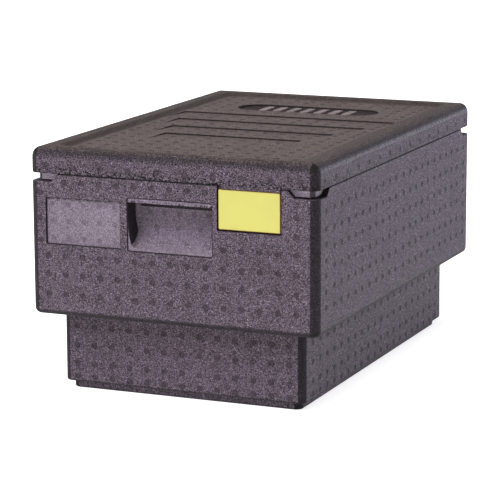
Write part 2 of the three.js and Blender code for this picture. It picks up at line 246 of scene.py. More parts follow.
def piece_from(mesh, name, materials):
    data = bpy.data.meshes.new(name)
    mesh.to_mesh(data)
    mesh.free()
    return new_piece(name, data, materials)


def add_tube(mesh, rings):
    """Adds the walls of a tube through rings of as many points each, and returns its layers."""
    layers = [[mesh.verts.new(Vector(point) * MM) for point in ring] for ring in rings]
    count = len(layers[0])
    for lower, upper in zip(layers, layers[1:]):
        for i in range(count):
            j = (i + 1) % count
            mesh.faces.new((lower[i], lower[j], upper[j], upper[i]))
    return layers


def solid_through(name, rings, materials=(), material_index=0):
    """Closed solid through rings of points. Its last two faces are its first and last caps."""
    mesh = bmesh.new()
    layers = add_tube(mesh, rings)
    mesh.faces.new(layers[0])
    mesh.faces.new(layers[-1])
    bmesh.ops.recalc_face_normals(mesh, faces=mesh.faces)
    for face in mesh.faces:
        face.material_index = material_index
    return piece_from(mesh, name, materials)


def stack(name, levels, materials=(), material_index=0):
    """Solid through rounded rectangles (z, half_x, half_y, radius), from the bottom up."""
    rings = [
        [(x, y, z) for x, y in rounded_rectangle(half_x, half_y, radius)]
        for z, half_x, half_y, radius in levels
    ]
    return solid_through(name, rings, materials, material_index)


def level(z, inset, radius):
    """A stack's level, given by how far it is inset from the box's outer faces."""
    return z, HALF_WIDTH - inset, HALF_LENGTH - inset, radius


def quarter_turn(steps):
    return [step / steps * math.pi / 2 for step in range(steps + 1)]


def convex_turn(rounding):
    """(fall, drawn in) pairs round a small convex edge, from its wall to its top."""
    return [
        (rounding * (1 - math.sin(angle)), rounding * (1 - math.cos(angle)))
        for angle in quarter_turn(FILLET_STEPS)
    ]


def rounded_edge(z, rounding, inset, radius, widens, steps=ARC_STEPS):
    """Levels that round an edge upward from z. With widens, the outline grows on its way up."""
    levels = []
    for angle in quarter_turn(steps):
        turn = math.pi / 2 - angle if widens else angle
        drawn_in = rounding * (1 - math.cos(turn))
        rise = 1 - math.sin(turn) if widens else math.sin(turn)
        corner = max(radius - drawn_in, SMALLEST_CORNER)
        levels.append(level(z + rounding * rise, inset + drawn_in, corner))
    return levels


def recess_profile(depth, mouth_rounding):
    """(outward offset, depth) pairs of a recess's wall, from its floor to past its mouth."""
    fillet = RECESS_FLOOR_FILLET
    profile = [
        (fillet * (math.sin(angle) - 1), depth - fillet * (1 - math.cos(angle)))
        for angle in quarter_turn(FILLET_STEPS)
    ]
    profile += [(grown, rise - MOUTH_LIFT) for rise, grown in convex_turn(mouth_rounding)]
    profile.append((mouth_rounding, -OVERCUT))
    return profile


def profiled(name, half_u, half_v, radius, profile, place, materials, material_index=0):
    """Solid with a rounded rectangular outline, offset as the (offset, along) profile says.

    place(u, v, along) is a point of it.
    """
    rings = []
    for offset, along in profile:
        outline = rounded_rectangle(half_u + offset, half_v + offset, radius + offset)
        rings.append([place(u, v, along) for u, v in outline])
    return solid_through(name, rings, materials, material_index)


def recess(name, half_u, half_v, radius, depth, mouth_rounding, place, floor_index):
    """Cutter for a recess with a dark wall: painted shade, partly smooth skin."""
    profile = recess_profile(depth, mouth_rounding)
    piece = profiled(name, half_u, half_v, radius, profile, place, foam_slots, EDGE)
    floor = piece.data.polygons[len(piece.data.polygons) - 2]
    floor.material_index = floor_index
    return piece


def prism(name, outline, low, high, place, material_index=0):
    """Cutter with one outline, between two positions along the third axis."""
    rings = [[place(u, v, along) for u, v in outline] for along in (low, high)]
    return solid_through(name, rings, foam_slots, material_index)


def in_front_end(centre_x, centre_z):
    """Places a recess drawn in X and Z in the front end, its depth along +Y."""
    return lambda u, v, depth: (centre_x + u, FRONT_Y + depth, centre_z + v)


def end_recess(name, centre_x, half_width, bottom, top, radius, depth, mouth, floor_index):
    half_height = (top - bottom) / 2
    place = in_front_end(centre_x, bottom + half_height)
    return recess(name, half_width, half_height, radius, depth, mouth, place, floor_index)


def turned_half(piece):
    """Copy of a cutter for the other end, turned half a turn about Z."""
    data = piece.data.copy()
    data.transform(Matrix.Rotation(math.pi, 4, "Z"))
    return add_to_scene(piece.name + "_turned", data)


def mirrored_x(piece):
    """Mirror image of a cutter, on the other long side."""
    data = piece.data.copy()
    data.transform(Matrix.Scale(-1, 4, Vector((1, 0, 0))))
    data.flip_normals()
    return add_to_scene(piece.name + "_mirrored", data)


def combine(piece, others, operation):
    """Cuts the others from the piece, or joins them to it, and removes them."""
    for other in others:
        modifier = piece.modifiers.new("boolean", "BOOLEAN")
        modifier.operation = operation
        modifier.solver = "EXACT"
        modifier.material_mode = "INDEX"
        modifier.object = other
        graph = bpy.context.evaluated_depsgraph_get()
        finished = bpy.data.meshes.new_from_object(piece.evaluated_get(graph))
        piece.modifiers.clear()
        piece.data = finished
        bpy.data.objects.remove(other)


def shade_smooth(piece):
    piece.data.polygons.foreach_set("use_smooth", [True] * len(piece.data.polygons))
    piece.data.set_sharp_from_angle(angle=SMOOTH_BELOW)


def finish_surface(piece):
    """Smooth shading over roundings, and flat faces that stay flat right up to them."""
    shade_smooth(piece)
    normals = piece.modifiers.new("flat_faces", "WEIGHTED_NORMAL")
    normals.keep_sharp = True
    normals.weight = LARGE_FACE_WEIGHT


# ---- Materials ----

DETAIL = 3.0  # octaves of every noise but the plastic's clouds


class Tree:
    """A new material's nodes, each added with its settings and links in one call."""

    def __init__(self, name):
        self.material = bpy.data.materials.new(name)
        self.material.use_nodes = True
        self.tree = self.material.node_tree

    def add(self, kind, inputs=None, **settings):
        node = self.tree.nodes.new(kind)
        for key, value in settings.items():
            setattr(node, key, value)
        for key, value in (inputs or {}).items():
            self.put(node.inputs[key], value)
        return node

    def put(self, socket, value):
        if isinstance(value, bpy.types.NodeSocket):
            self.tree.links.new(value, socket)
        else:
            socket.default_value = value

    def finished(self, settings):
        """The material, with the inputs of its shader set."""
        for key, value in settings.items():
            self.put(self.tree.nodes["Principled BSDF"].inputs[key], value)
        return self.material

    def math(self, operation, first, second=0.0):
        node = self.add("ShaderNodeMath", {0: first, 1: second}, operation=operation)
        return node.outputs[0]

    def span(self, value, low, high, to_low, to_high, smooth=False):
        """Maps a value from one range to another, held at the ends."""
        node = self.add(
            "ShaderNodeMapRange",
            {"Value": value, "From Min": low, "From Max": high,
             "To Min": to_low, "To Max": to_high},
            interpolation_type="SMOOTHSTEP" if smooth else "LINEAR",
        )
        return node.outputs["Result"]

    def product(self, factors):
        result = factors[0]
        for factor in factors[1:]:
            result = self.math("MULTIPLY", result, factor)
        return result

    def noise(self, where, scale, detail=DETAIL):
        inputs = {"Vector": where, "Scale": scale, "Detail": detail}
        return self.add("ShaderNodeTexNoise", inputs).outputs[0]

    def bump(self, height, strength, distance):
        inputs = {"Height": height, "Strength": strength, "Distance": distance}
        return self.add("ShaderNodeBump", inputs).outputs["Normal"]

    def curve(self, value, stops):
        """Maps a value through (position, tone) stops, in straight pieces."""
        node = self.add("ShaderNodeValToRGB", {"Fac": value})
        ramp = node.color_ramp
        while len(ramp.elements) < len(stops):
            ramp.elements.new(position=0)
        for element, (position, tone) in zip(ramp.elements, stops):
            element.position = position
            element.color = (tone, tone, tone, 1)
        return node.outputs["Color"]

    def mixed(self, share, first, second):
        """Blend of two colours."""
        node = self.add("ShaderNodeMix", {"Factor": share}, data_type="RGBA")
        colour_inputs = [socket for socket in node.inputs if socket.type == "RGBA"]
        self.put(colour_inputs[0], (*first, 1))
        self.put(colour_inputs[1], (*second, 1))
        return next(socket for socket in node.outputs if socket.type == "RGBA")

    def tinted(self, colour, factor):
        """A colour made lighter or darker by a factor."""
        node = self.add("ShaderNodeVectorMath", {0: colour, "Scale": factor}, operation="SCALE")
        return node.outputs["Vector"]


# Foam. A pair named EDGE is the stretch of distances, in cells, over which an effect fades out.
BEAD_SIZE = 2.6 * MM
GRAIN_SIZE = 0.95 * MM
DUST_SIZE = 0.7 * MM
GRAIN_LENGTH = 2.0  # of a grain along the carrier, for one as wide and as high as 1
PIT_SPACING = 5.0 * MM
CRUMB_SPACING = 2.9 * MM
CLOUD_SIZE = 70 * MM
BUMP_HEIGHT = 0.4 * MM
SEAM_EDGE = (0, 0.11)
SEAM_TONES = (0.92, 1)
GLINTING = (0.9, 1)  # the lightest tenth of the dust grains glint
GLINT_GAIN = 0.5  # for a grain contrast of 1
CLOUD_RANGE = (0.3, 0.7)
CLOUD_TONES = (0.94, 1.06)
PIT_CLOUDS = (0.45, 0.62)  # cloud values over which the pits go from faint to deep
PIT_TONES = (0.75, 0.12)
PIT_EDGE = (0.07, 0.15)
BROW_PITS = (256.5, 263.5)  # heights between which the foam is pitted, above the hand pocket
SKIRT_PITS = (288.0, 299.0)  # and along the lid's bottom edge
PIT_BAND_FADE = (0.3, 0.5)  # of such a band's height, away from its middle
CRUMB_CHOICE = (0.45, 0.60)  # below it a crumb is a black pit, above it plain foam
CRUMB_EDGE = (0.42, 0.58)
CRUMB_TONE = 0.08
TOP_TURN = (0.5, 1)  # how far up a surface faces as it takes on the top's painted warm tint
ROUGHNESS_SPREAD = (-0.12, 0.12)
DOME_EDGE = (0.1, 0.75)
GROOVE_EDGE = (0, 0.14)
HOLE_EDGE = (0.04, 0.12)
DUST_RELIEF = 0.5
FOAM_SPECULAR = 0.12
DULL_SPECULAR = 0.04
# Upright corners are darker by CORNER_TONE: partly smoother skin, partly painted shade.
CORNER_BEGINS = 0.0008  # how far an upright corner has turned, from 0 (flat) to 0.29 (45 degrees)
CORNER_TURNED = 0.015
CORNER_TONE = 0.2

# Darker slopes and roundings are partly the mould's smoother skin and partly painted shade.
# Tone of the moulded skin against how far a surface faces up or down, from 0 (upright) to 1.
BOX_TONES = [(0, 1), (0.06, 0.85), (0.26, 0.38), (0.5, 0.25), (0.97, 0.25), (1, 1)]
# The lid's lighter tone near 0.87 is partly a painted highlight on its top rounding.
LID_TONES = [(0, 1), (0.12, 0.80), (0.26, 0.60), (0.5, 0.36), (0.71, 0.42), (0.87, 0.66), (1, 0.72)]
CORNERS_ONLY = [(0, 1), (1, 1)]
PANEL_TONES = [(0, 1), (0.3, 0.5), (0.93, 0.40), (0.985, 0.55), (0.999, 0.95), (1, 1)]

# Roughness against the same share: the lower part of the lid's top rounding is glossier.
EVEN_GLOSS = [(0, 0.58), (1, 0.58)]
LID_GLOSS = [(0, 0.58), (0.12, 0.24), (0.36, 0.24), (0.60, 0.58), (1, 0.58)]


def cells(tree, where, size, **settings):
    return tree.add("ShaderNodeTexVoronoi", {"Vector": where, "Scale": 1 / size}, **settings)


def cell_value(tree, texture):
    """A random value from 0 to 1, even over each cell."""
    return tree.add("ShaderNodeSeparateColor", {0: texture.outputs["Color"]}).outputs[0]


def corner_turn(tree, along):
    """How far an upright corner has turned away from the nearer of the X and Y axes."""
    nearer = tree.math(
        "MAXIMUM", tree.math("ABSOLUTE", along[0]), tree.math("ABSOLUTE", along[1])
    )
    squares = [tree.math("MULTIPLY", along[axis], along[axis]) for axis in (0, 1)]
    sideways = tree.math("SQRT", tree.math("ADD", *squares))
    return tree.math("SUBTRACT", sideways, nearer)


def crowded_pits(tree, where, band):
    """Tone of small black pits that crowd between the two heights in band."""
    crumbs = cells(tree, where, CRUMB_SPACING)
    height = tree.add("ShaderNodeSeparateXYZ", {0: where}).outputs[2]
    low, high = (limit * MM for limit in band)
    away = tree.math("ABSOLUTE", tree.math("SUBTRACT", height, (low + high) / 2))
    fade = [(high - low) * share for share in PIT_BAND_FADE]
    outside = tree.span(away, *fade, 0, 1)
    spared = tree.span(cell_value(tree, crumbs), *CRUMB_CHOICE, 0, 1)
    tone = tree.math("MAXIMUM", tree.math("MAXIMUM", outside, spared), CRUMB_TONE)
    return tree.span(crumbs.outputs["Distance"], *CRUMB_EDGE, tone, 1, smooth=True)


def foam(
    name, colour, bead_contrast, grain_contrast, relief, tones=None, top_colour=None,
    specular=FOAM_SPECULAR, gloss=EVEN_GLOSS, pitted=None, corner_tone=CORNER_TONE,
):
    """Moulded bead foam: soft beads with darker seams, a fine grain and scattered pits.

    Roundings are darker, partly the mould's smoother skin and partly painted shade: tones says
    how dark for how far a surface faces up or down, and corner_tone for an upright corner.
    Surfaces that face up take top_colour, a painted warm tint of the light from above. Between
    the two heights in pitted, in millimetres, small black pits crowd.
    """
    tree = Tree(name)
    where = tree.add("ShaderNodeTexCoord").outputs["Object"]
    facing = tree.add("ShaderNodeTexCoord").outputs["Normal"]
    along = tree.add("ShaderNodeSeparateXYZ", {0: facing}).outputs
    tilt = tree.math("ABSOLUTE", along[2])  # how far the surface faces up or down

    lengthened = tree.add(
        "ShaderNodeVectorMath", {0: where, 1: (1, 1 / GRAIN_LENGTH, 1)}, operation="MULTIPLY"
    ).outputs["Vector"]
    beads = cells(tree, where, BEAD_SIZE)
    seams = cells(tree, where, BEAD_SIZE, feature="DISTANCE_TO_EDGE")
    grain = cells(tree, lengthened, GRAIN_SIZE)
    dust = cells(tree, lengthened, DUST_SIZE)
    pits = cells(tree, where, PIT_SPACING)
    clouds = tree.noise(where, 1 / CLOUD_SIZE)

    grain_value = cell_value(tree, grain)
    dust_value = cell_value(tree, dust)
    bead_tones = (1 - bead_contrast, 1 + bead_contrast)
    grain_tones = (1 - grain_contrast, 1 + grain_contrast)
    glint = 1 + GLINT_GAIN * grain_contrast
    pit_depth = tree.span(clouds, *PIT_CLOUDS, *PIT_TONES, smooth=True)
    factors = [
        tree.span(cell_value(tree, beads), 0, 1, *bead_tones),
        tree.span(grain_value, 0, 1, *grain_tones),
        tree.span(dust_value, 0, 1, *grain_tones),
        tree.span(dust_value, *GLINTING, 1, glint, smooth=True),
        tree.span(seams.outputs["Distance"], *SEAM_EDGE, *SEAM_TONES, smooth=True),
        tree.span(pits.outputs["Distance"], *PIT_EDGE, pit_depth, 1, smooth=True),
        tree.span(clouds, *CLOUD_RANGE, *CLOUD_TONES),
    ]
    if tones:
        turned = corner_turn(tree, along)
        factors.append(
            tree.span(turned, CORNER_BEGINS, CORNER_TURNED, 1, corner_tone, smooth=True)
        )
        factors.append(tree.curve(tilt, tones))
    if pitted:
        factors.append(crowded_pits(tree, where, pitted))
    if top_colour:
        upward = tree.span(along[2], *TOP_TURN, 0, 1, smooth=True)
        colour = tree.mixed(upward, colour, top_colour)
    roughness = tree.math(
        "ADD", tree.curve(tilt, gloss), tree.span(grain_value, 0, 1, *ROUGHNESS_SPREAD)
    )
    heights = [
        tree.span(beads.outputs["Distance"], *DOME_EDGE, 1, 0, smooth=True),
        tree.span(seams.outputs["Distance"], *GROOVE_EDGE, 0, 1, smooth=True),
        tree.span(pits.outputs["Distance"], *HOLE_EDGE, 0, 1, smooth=True),
        tree.math("MULTIPLY", dust.outputs["Distance"], DUST_RELIEF),
    ]
    surface = heights[0]
    for height in heights[1:]:
        surface = tree.math("ADD", surface, height)
    return tree.finished({
        "Base Color": tree.tinted(colour, tree.product(factors)),
        "Specular IOR Level": specular,
        "Roughness": roughness,
        "Normal": tree.bump(surface, relief, BUMP_HEIGHT),
    })


# The tag's plastic.
PEEL_SCALE = 900.0
PEEL_RELIEF = 0.25
PEEL_HEIGHT = 0.05 * MM
PEEL_TONES = (0.985, 1.015)
PLASTIC_CLOUD_SCALE = 35.0
PLASTIC_CLOUD_DETAIL = 2.0
PLASTIC_CLOUD_TONES = (0.97, 1.03)
PLASTIC_ROUGHNESS = (0.36, 0.46)
TAG_EDGE_TURN = (0.85, 0.995)  # how far forward a surface faces as the edge's painted shade ends


def moulded_plastic(name, colour, edge_shade_colour):
    """Satin plastic with the faint orange-peel of a moulded face, and a painted shade on its edge.
    """
    tree = Tree(name)
    where = tree.add("ShaderNodeTexCoord").outputs["Object"]
    facing = tree.add("ShaderNodeTexCoord").outputs["Normal"]
    forward = tree.math("ABSOLUTE", tree.add("ShaderNodeSeparateXYZ", {0: facing}).outputs[1])
    peel = tree.noise(where, PEEL_SCALE)
    clouds = tree.noise(where, PLASTIC_CLOUD_SCALE, PLASTIC_CLOUD_DETAIL)
    tone = tree.product([
        tree.span(peel, *CLOUD_RANGE, *PEEL_TONES),
        tree.span(clouds, *CLOUD_RANGE, *PLASTIC_CLOUD_TONES),
    ])
    face_share = tree.span(forward, *TAG_EDGE_TURN, 0, 1, smooth=True)
    colour = tree.mixed(face_share, edge_shade_colour, colour)
    return tree.finished({
        "Base Color": tree.tinted(colour, tone),
        "Roughness": tree.span(clouds, *CLOUD_RANGE, *PLASTIC_ROUGHNESS),
        "Normal": tree.bump(peel, PEEL_RELIEF, PEEL_HEIGHT),
    })


FOAM_COLOUR = (0.0770, 0.0608, 0.0770)
LID_COLOUR = (0.0716, 0.0565, 0.0716)
RECESS_COLOUR = (0.1390, 0.1140, 0.1440)
# Edge foam on recess walls, pocket and terrace risers: partly smooth skin, partly painted shade.
EDGE_COLOUR = (0.0220, 0.0175, 0.0215)
LID_EDGE_COLOUR = (0.0250, 0.0200, 0.0200)
# The lid's up-facing foam is warmer: a painted tint of the warm light from above.
LID_TOP_WARM_LIT_COLOUR = (0.0700, 0.0555, 0.0530)
# Much lighter than the recess foam: painted light on the tongue, which the lid shades.
TONGUE_LIT_COLOUR = (0.3000, 0.2500, 0.3100)
VENT_COLOUR = (0.0440, 0.0350, 0.0430)
RECESS_VENT_COLOUR = (0.1020, 0.0850, 0.1060)
BADGE_COLOUR = (0.1500, 0.1250, 0.1200)
TAG_COLOUR = (0.405, 0.388, 0.081)
# Orange-brown painted shade on the tag's rounded edges.
TAG_EDGE_SHADE_COLOUR = (0.350, 0.170, 0.020)

SKIN_GRAIN = {"bead_contrast": 0.06, "grain_contrast": 0.88, "relief": 1.0}
PANEL_GRAIN = {"bead_contrast": 0.10, "grain_contrast": 0.75, "relief": 0.60}
BADGE_GRAIN = {"bead_contrast": 0.08, "grain_contrast": 0.50, "relief": 0.50}
RECESS_GRAIN = {"bead_contrast": 0.08, "grain_contrast": 0.40, "relief": 0.40}
TONGUE_GRAIN = {"bead_contrast": 0.08, "grain_contrast": 0.30, "relief": 0.35}
EDGE_GRAIN = {"bead_contrast": 0.10, "grain_contrast": 0.50, "relief": 0.30}
VENT_GRAIN = {"bead_contrast": 0.08, "grain_contrast": 0.50, "relief": 0.30}
RECESS_VENT_GRAIN = {"bead_contrast": 0.08, "grain_contrast": 0.30, "relief": 0.30}

box_skin = foam("box_foam_skin", FOAM_COLOUR, **SKIN_GRAIN, tones=BOX_TONES)
box_recess = foam("box_foam_recess", RECESS_COLOUR, **RECESS_GRAIN, pitted=BROW_PITS)
lid_skin = foam(
    "lid_foam_skin", LID_COLOUR, **SKIN_GRAIN, tones=LID_TONES, top_colour=LID_TOP_WARM_LIT_COLOUR,
    gloss=LID_GLOSS, pitted=SKIRT_PITS,
)
lid_panel = foam(
    "lid_foam_panel", LID_TOP_WARM_LIT_COLOUR, **PANEL_GRAIN, tones=PANEL_TONES, corner_tone=1.0
)
lid_recess = foam("lid_foam_recess", LID_TOP_WARM_LIT_COLOUR, **PANEL_GRAIN)
tongue_skin = foam("lid_foam_tongue", TONGUE_LIT_COLOUR, **TONGUE_GRAIN, tones=CORNERS_ONLY)
lid_edge = foam("lid_foam_edge", LID_EDGE_COLOUR, **VENT_GRAIN, specular=DULL_SPECULAR)
badge_skin = foam("lid_foam_badge", BADGE_COLOUR, **BADGE_GRAIN)
dark_edge = foam("foam_recess_edge", EDGE_COLOUR, **EDGE_GRAIN, specular=DULL_SPECULAR)
vent_skin = foam("vent_foam", VENT_COLOUR, **VENT_GRAIN, specular=DULL_SPECULAR)
recess_vent_skin = foam(
    "recess_vent_foam", RECESS_VENT_COLOUR, **RECESS_VENT_GRAIN, specular=DULL_SPECULAR
)
tag_skin = moulded_plastic("tag_plastic_satin", TAG_COLOUR, TAG_EDGE_SHADE_COLOUR)

foam_slots = []  # a cutter's slots: its material index picks a slot of the piece that it cuts
SKIN, RECESS, EDGE, TONGUE, PANEL, BADGE = range(6)


# ---- Box body ----


def box_outside():
    foot = STEP_INSET + FOOT_INSET
    return stack("box_body_visual", [
        *rounded_edge(0, FOOT_ROUNDING, foot, LOWER_CORNER_RADIUS, True, FILLET_STEPS),
        level(FOOT_HEIGHT, foot, LOWER_CORNER_RADIUS),
        *rounded_edge(
            FOOT_HEIGHT, LOWER_ROUNDING, STEP_INSET, LOWER_CORNER_RADIUS, True, FILLET_STEPS
        ),
        level(STEP_Z, STEP_INSET, LOWER_CORNER_RADIUS),
        *rounded_edge(STEP_Z, STEP_ROUNDING, 0, CORNER_RADIUS, True),
        *rounded_edge(
            PARTING_Z - LIP_EDGE_ROUNDING, LIP_EDGE_ROUNDING, 0, CORNER_RADIUS, False,
            FILLET_STEPS,
        ),
    ], foam_slots)


def lip_recess():
    floor = rounded_edge(
        SHELF_Z, SHELF_FILLET, LIP_THICKNESS, LIP_CORNER_RADIUS, True, FILLET_STEPS
    )
    top = level(PARTING_Z + OVERCUT, LIP_THICKNESS, LIP_CORNER_RADIUS)
    return stack("lip_recess", [*floor, top])


def cavity():
    """Everything that the food pan hangs in, from the floor up to the shelf."""
    upper = WALL + PAN_SEAT_WIDTH
    lower = STEP_INSET + LOWER_WALL
    seat_edge = [
        level(PAN_SEAT_Z - fall, upper - drawn_in, CAVITY_RADIUS)
        for fall, drawn_in in convex_turn(SEAT_EDGE_ROUNDING)
    ]
    seat = rounded_edge(PAN_SEAT_Z, SHELF_FILLET, WALL, CAVITY_RADIUS, True, FILLET_STEPS)
    return stack("cavity", [
        *rounded_edge(FLOOR_Z, FLOOR_ROUNDING, lower + WALL_LEAN, CAVITY_RADIUS, True),
        level(SHOULDER_Z - SHOULDER_DROP, lower, CAVITY_RADIUS),
        level(SHOULDER_Z, upper + WALL_LEAN, CAVITY_RADIUS),
        *seat_edge,
        *seat,
        level(SHELF_Z + OVERCUT, WALL, CAVITY_RADIUS),
    ])


def finger_scoop():
    """Trough in the +X wall, open to the cavity and to the shelf."""
    half = SCOOP_LENGTH / 2
    radius = SCOOP_DEPTH
    outline = [(-half, SHELF_Z + OVERCUT)]
    for angle in quarter_turn(ARC_STEPS):
        outline.append((
            -half + radius * (1 - math.cos(angle)),
            SCOOP_BOTTOM_Z + radius * (1 - math.sin(angle)),
        ))
    outline += [(-u, v) for u, v in reversed(outline)]
    inner = HALF_WIDTH - WALL - PAN_SEAT_WIDTH
    return prism(
        "finger_scoop", outline, inner - OVERCUT, inner + SCOOP_DEPTH,
        lambda u, v, along: (along, u, v),
    )


def corner_notches():
    """The two slanted cuts of the front left corner's notch: in the end, and in the side."""
    def outline(half):
        return [
            (-half - OVERCUT, SHELF_Z),
            (-half + NOTCH_REACH - NOTCH_SLOPE, SHELF_Z),
            (-half + NOTCH_REACH, PARTING_Z),
            (-half + NOTCH_REACH, PARTING_Z + OVERCUT),
            (-half - OVERCUT, PARTING_Z + OVERCUT),
        ]
    on_end = prism(
        "notch_on_end", outline(HALF_WIDTH), FRONT_Y - OVERCUT, FRONT_Y + CORNER_RADIUS,
        lambda u, v, along: (u, along, v),
    )
    on_side = prism(
        "notch_on_side", outline(HALF_LENGTH), -HALF_WIDTH - OVERCUT,
        -HALF_WIDTH + CORNER_RADIUS,
        lambda u, v, along: (along, u, v),
    )
    return [on_end, on_side]


def handle_rebate():
    return end_recess(
        "handle_rebate", HANDLE_X, HANDLE_HALF_WIDTH, HANDLE_BOTTOM_Z, HANDLE_TOP_Z,
        HANDLE_CORNER_RADIUS, HANDLE_REBATE, RECESS_MOUTH_ROUNDING, RECESS,
    )


def pocket_outline(depth, mouth):
    """The hand pocket's outline at one depth behind the end, grown by mouth."""
    share = min(max(depth / POCKET_DEPTH, 0), 1)
    bottom = POCKET_MIDDLE_Z - (POCKET_MIDDLE_Z - POCKET_BOTTOM_Z) * math.sqrt(1 - share ** 2)
    past_fillet = max(depth - (POCKET_DEPTH - POCKET_FILLET), 0)
    drawn_in = POCKET_FILLET - math.sqrt(POCKET_FILLET ** 2 - past_fillet ** 2)
    half = POCKET_HALF_WIDTH - drawn_in + mouth
    ceiling = POCKET_CEILING_Z - POCKET_CEILING_FALL * drawn_in + mouth
    bottom -= mouth
    corner = POCKET_CORNER_SHARE * (ceiling - bottom)
    opening = POCKET_CEILING_Z - POCKET_BOTTOM_Z
    width = POCKET_CORNER_WIDTH * min((ceiling - bottom) / opening, 1)
    right = [
        (half - width * (1 - math.cos(angle)), bottom + corner * (1 - math.sin(angle)))
        for angle in quarter_turn(ARC_STEPS)
    ]
    left = [(-u, v) for u, v in reversed(right)]
    return [(-half, ceiling), (half, ceiling), *right, *left]


def paint(piece, index, chosen):
    """Gives the chosen faces of a cutter another slot."""
    for face in piece.data.polygons:
        if chosen(face):
            face.material_index = index


def hand_pocket():
    """Scoop for the fingers: elliptical in side view, with soft sides and lower corners.

    Its ceiling, and its side walls near the mouth, are dark: painted shade, partly smooth skin.
    """
    depths = [
        POCKET_DEPTH * math.sin(math.pi / 2 * i / POCKET_STEPS) for i in range(POCKET_STEPS, 0, -1)
    ]
    rounding = RECESS_MOUTH_ROUNDING
    place = in_front_end(HANDLE_X, 0)
    rings = []
    for depth in depths:
        behind = depth - HANDLE_REBATE
        if behind > rounding:
            rings.append([place(u, v, depth) for u, v in pocket_outline(depth, 0)])
    for rise, grown in convex_turn(rounding):
        depth = HANDLE_REBATE + rise
        rings.append([place(u, v, depth) for u, v in pocket_outline(depth, grown)])
    rings.append([place(u, v, -OVERCUT) for u, v in pocket_outline(0, rounding)])
    piece = solid_through("hand_pocket", rings, foam_slots, RECESS)
    around = len(rings[0])
    dark = [*range(POCKET_DARK_STEPS + 2), *range(around - 1 - POCKET_DARK_STEPS, around)]
    sides = len(piece.data.polygons) - 2
    first_dark = sum(depth > POCKET_DARK_DEPTH for depth in depths)

    def is_dark(face):
        ring, column = divmod(face.index, around)
        on_ceiling = column == 0
        return face.index < sides and column in dark and (on_ceiling or ring >= first_dark)

    paint(piece, EDGE, is_dark)
    return piece


def label_recess():
    return end_recess(
        "label_recess", LABEL_X, LABEL_HALF_WIDTH, LABEL_BOTTOM_Z, LABEL_TOP_Z,
        LABEL_CORNER_RADIUS, LABEL_DEPTH, TIGHT_MOUTH_ROUNDING, RECESS,
    )


def tag_pocket():
    return end_recess(
        "tag_pocket", TAG_POCKET_X, TAG_POCKET_HALF_WIDTH, TAG_POCKET_BOTTOM_Z,
        PARTING_Z + TAG_POCKET_OVERCUT, TAG_POCKET_CORNER_RADIUS, TAG_POCKET_DEPTH,
        TIGHT_MOUTH_ROUNDING, SKIN,
    )


def rod(name, x, z, stations, materials=()):
    """Round solid along Y, through (y, radius) stations."""
    around = 4 * ARC_STEPS
    rings = [
        [
            (x + radius * math.cos(2 * math.pi * i / around), y,
             z + radius * math.sin(2 * math.pi * i / around))
            for i in range(around)
        ]
        for y, radius in stations
    ]
    return solid_through(name, rings, materials)


def stud_holes():
    back = FRONT_Y + TAG_POCKET_DEPTH
    radius = STUD_RADIUS + STUD_CLEARANCE
    tag_x = (tag_low.x + tag_high.x) / 2
    return [
        rod("stud_hole", tag_x + side * STUD_SPACING / 2, STUD_Z,
            [(back - STUD_ROOT, radius), (back + STUD_HOLE_DEPTH, radius)], foam_slots)
        for side in (-1, 1)
    ]


def make_box():
    piece = box_outside()
    scoop = finger_scoop()
    notches = corner_notches()
    notches += [mirrored_x(notch) for notch in notches]
    end = [handle_rebate(), hand_pocket(), label_recess(), tag_pocket(), *stud_holes()]
    one_end = [*notches, *end, scoop]
    combine(piece, [lip_recess(), cavity()], "DIFFERENCE")
    combine(piece, [turned_half(cutter) for cutter in one_end], "DIFFERENCE")
    combine(piece, one_end, "DIFFERENCE")
    finish_surface(piece)
    return piece


# ---- Lid ----


def lid_outside():
    return stack("lid_visual", [
        *rounded_edge(SKIRT_BOTTOM_Z, LID_BOTTOM_ROUNDING, 0, CORNER_RADIUS, True, FILLET_STEPS),
        *rounded_edge(TOP_Z - LID_TOP_ROUNDING, LID_TOP_ROUNDING, 0, CORNER_RADIUS, False),
    ], foam_slots)


def tongue_and_plug():
    tongue = LIP_THICKNESS + TONGUE_CLEARANCE
    plug = WALL + PLUG_CLEARANCE
    chamfered = plug + PLUG_CHAMFER
    return stack("tongue_and_plug", [
        level(PLUG_BOTTOM_Z, chamfered, CAVITY_RADIUS),
        level(PLUG_BOTTOM_Z + PLUG_CHAMFER, plug, CAVITY_RADIUS),
        level(TONGUE_BOTTOM_Z, plug, CAVITY_RADIUS),
        *rounded_edge(
            TONGUE_BOTTOM_Z, TONGUE_EDGE_ROUNDING, tongue, LIP_CORNER_RADIUS, True, FILLET_STEPS
        ),
        level(PARTING_Z + OVERCUT, tongue, LIP_CORNER_RADIUS),
    ], foam_slots, TONGUE)


def lid_key():
    """Tab that closes the open top of the tag pocket, flush with the box's end."""
    half_depth = (TAG_POCKET_DEPTH - TONGUE_CLEARANCE - FLUSH_GAP) / 2
    middle_y = FRONT_Y + FLUSH_GAP + half_depth
    return prism(
        "lid_key", rounded_rectangle(KEY_HALF_WIDTH, half_depth, KEY_CORNER_RADIUS),
        KEY_BOTTOM_Z, KEY_TOP_Z, lambda u, v, along: (KEY_X + u, middle_y + v, along),
    )


def lid_underside():
    inset = WALL + PLUG_CLEARANCE + PLUG_RIM_WIDTH
    leaned = inset + WALL_LEAN
    return stack("lid_underside", [
        level(PLUG_BOTTOM_Z - OVERCUT, inset, CAVITY_RADIUS),
        level(PLUG_BOTTOM_Z, inset, CAVITY_RADIUS),
        level(UNDERSIDE_Z, leaned, CAVITY_RADIUS),
    ])


